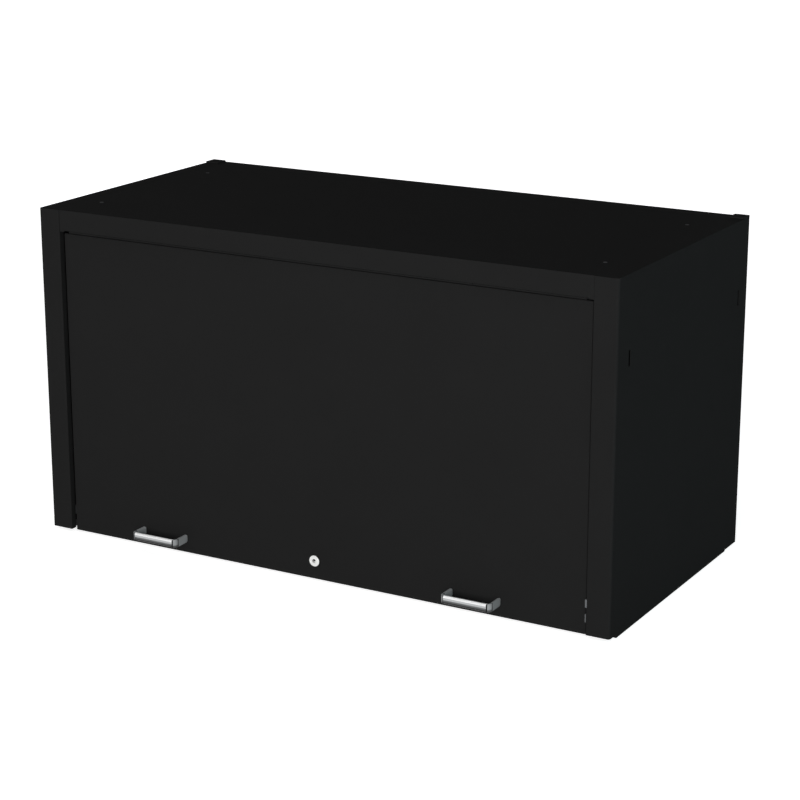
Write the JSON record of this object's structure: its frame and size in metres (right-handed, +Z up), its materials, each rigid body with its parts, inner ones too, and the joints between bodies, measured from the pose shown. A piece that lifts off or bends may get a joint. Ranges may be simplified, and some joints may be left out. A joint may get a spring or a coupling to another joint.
{
  "type": "tool chest top hutch",
  "caption": "Wide sheet steel hutch that stands on a tool chest, with a flip-up front door on a long hinge, bar pulls, gas struts and a centre lock that drives side latch rods.",
  "frame": {"origin": "centre of the four base bolts, on the surface that the hutch stands on", "axes": "+X to the right seen from the front, +Y to the back, +Z up"},
  "size_m": [1.27, 0.6588, 0.6828],
  "materials": {
    "black_powder_coat": "satin, very fine orange peel",
    "zinc_plated_steel": "satin",
    "nickel_plate": "polished",
    "brushed_aluminium": "brushed lengthways",
    "grey_satin_metal": "satin",
    "black_rubber": "matte",
    "gloss_black_paint": "gloss",
    "polished_rod": "polished"
  },
  "bodies": {
    "cabinet": {"back_panel": "black_powder_coat", "back_panel_rivets": "black_powder_coat", "cabinet_bracket_rivets": "zinc_plated_steel", "cabinet_hinge_rivets": "black_powder_coat", "header_rail": "black_powder_coat", "hinge_cabinet_leaf": "black_powder_coat", "hinge_pin": "zinc_plated_steel", "left_base_rail": "black_powder_coat", "left_cabinet_strut_bracket": "zinc_plated_steel", "left_cabinet_strut_stud": "zinc_plated_steel", "left_rear_post": "black_powder_coat", "left_side_panel": "black_powder_coat", "left_stop_bracket": "zinc_plated_steel", "left_stop_bumper": "black_rubber", "left_strike_plate": "zinc_plated_steel", "right_base_rail": "black_powder_coat", "right_cabinet_strut_bracket": "zinc_plated_steel", "right_cabinet_strut_stud": "zinc_plated_steel", "right_rear_post": "black_powder_coat", "right_side_panel": "black_powder_coat", "right_stop_bracket": "zinc_plated_steel", "right_stop_bumper": "black_rubber", "right_strike_plate": "zinc_plated_steel", "top_panel": "black_powder_coat"},
    "door": {"door_bracket_rivets": "zinc_plated_steel", "door_hinge_rivets": "black_powder_coat", "door_skin": "black_powder_coat", "handle_screws": "zinc_plated_steel", "hinge_door_leaf": "black_powder_coat", "left_door_stiffener": "black_powder_coat", "left_door_strut_bracket": "zinc_plated_steel", "left_door_strut_stud": "zinc_plated_steel", "left_handle_grip": "brushed_aluminium", "left_handle_legs": "grey_satin_metal", "left_inner_rod_guide": "zinc_plated_steel", "left_outer_rod_guide": "zinc_plated_steel", "lock_case": "nickel_plate", "lock_nut": "zinc_plated_steel", "middle_door_stiffener": "black_powder_coat", "right_door_stiffener": "black_powder_coat", "right_door_strut_bracket": "zinc_plated_steel", "right_door_strut_stud": "zinc_plated_steel", "right_handle_grip": "brushed_aluminium", "right_handle_legs": "grey_satin_metal", "right_inner_rod_guide": "zinc_plated_steel", "right_outer_rod_guide": "zinc_plated_steel"},
    "lock": {"lock_plug": "nickel_plate", "lock_cam": "zinc_plated_steel", "cam_nut": "zinc_plated_steel"},
    "right_rod": {"right_latch_rod": "zinc_plated_steel"},
    "left_rod": {"left_latch_rod": "zinc_plated_steel"},
    "right_cylinder": {"right_strut_cylinder": "gloss_black_paint", "right_strut_cylinder_eye": "zinc_plated_steel"},
    "left_cylinder": {"left_strut_cylinder": "gloss_black_paint", "left_strut_cylinder_eye": "zinc_plated_steel"},
    "right_piston_rod": {"right_strut_rod": "polished_rod", "right_strut_rod_eye": "zinc_plated_steel"},
    "left_piston_rod": {"left_strut_rod": "polished_rod", "left_strut_rod_eye": "zinc_plated_steel"}
  },
  "joints": [
    {"name": "door_hinge", "type": "hinge", "parent": "cabinet", "child": "door", "pos_m": [0, -0.284, 0.63475], "axis": [-1, 0, 0], "range_deg": [0, 80]},
    {"name": "right_rod_slide", "type": "slide", "parent": "door", "child": "right_rod", "axis": [1, 0, 0], "range_m": [0, 0.02121]},
    {"name": "lock_turn", "type": "hinge", "parent": "door", "child": "lock", "pos_m": [0, -0.2865, 0.041], "axis": [0, 1, 0], "range_deg": [0, 91]},
    {"name": "left_rod_slide", "type": "slide", "parent": "door", "child": "left_rod", "axis": [-1, 0, 0], "range_m": [0, 0.02141]},
    {"name": "right_cylinder_pivot", "type": "hinge", "parent": "cabinet", "child": "right_cylinder", "pos_m": [0.57, -0.03734, 0.59403], "axis": [-1, 0, 0], "range_deg": [-1, 41]},
    {"name": "left_cylinder_pivot", "type": "hinge", "parent": "cabinet", "child": "left_cylinder", "pos_m": [-0.57, -0.03734, 0.59403], "axis": [-1, 0, 0], "range_deg": [-1, 41]},
    {"name": "right_rod_pivot", "type": "hinge", "parent": "door", "child": "right_piston_rod", "pos_m": [0.57, -0.2465, 0.38758], "axis": [-1, 0, 0], "range_deg": [-41, 1]},
    {"name": "left_rod_pivot", "type": "hinge", "parent": "door", "child": "left_piston_rod", "pos_m": [-0.57, -0.2465, 0.38758], "axis": [-1, 0, 0], "range_deg": [-41, 1]}
  ],
  "couplings": [
    {"joint": "lock_turn", "follows": "right_rod_slide", "rad_per_m": 74.048},
    {"joint": "left_rod_slide", "follows": "right_rod_slide", "ratio": 1},
    {"joint": "right_cylinder_pivot", "follows": "door_hinge", "ratio": 0.5},
    {"joint": "left_cylinder_pivot", "follows": "door_hinge", "ratio": 0.5},
    {"joint": "right_rod_pivot", "follows": "door_hinge", "ratio": -0.5},
    {"joint": "left_rod_pivot", "follows": "door_hinge", "ratio": -0.5}
  ]
}
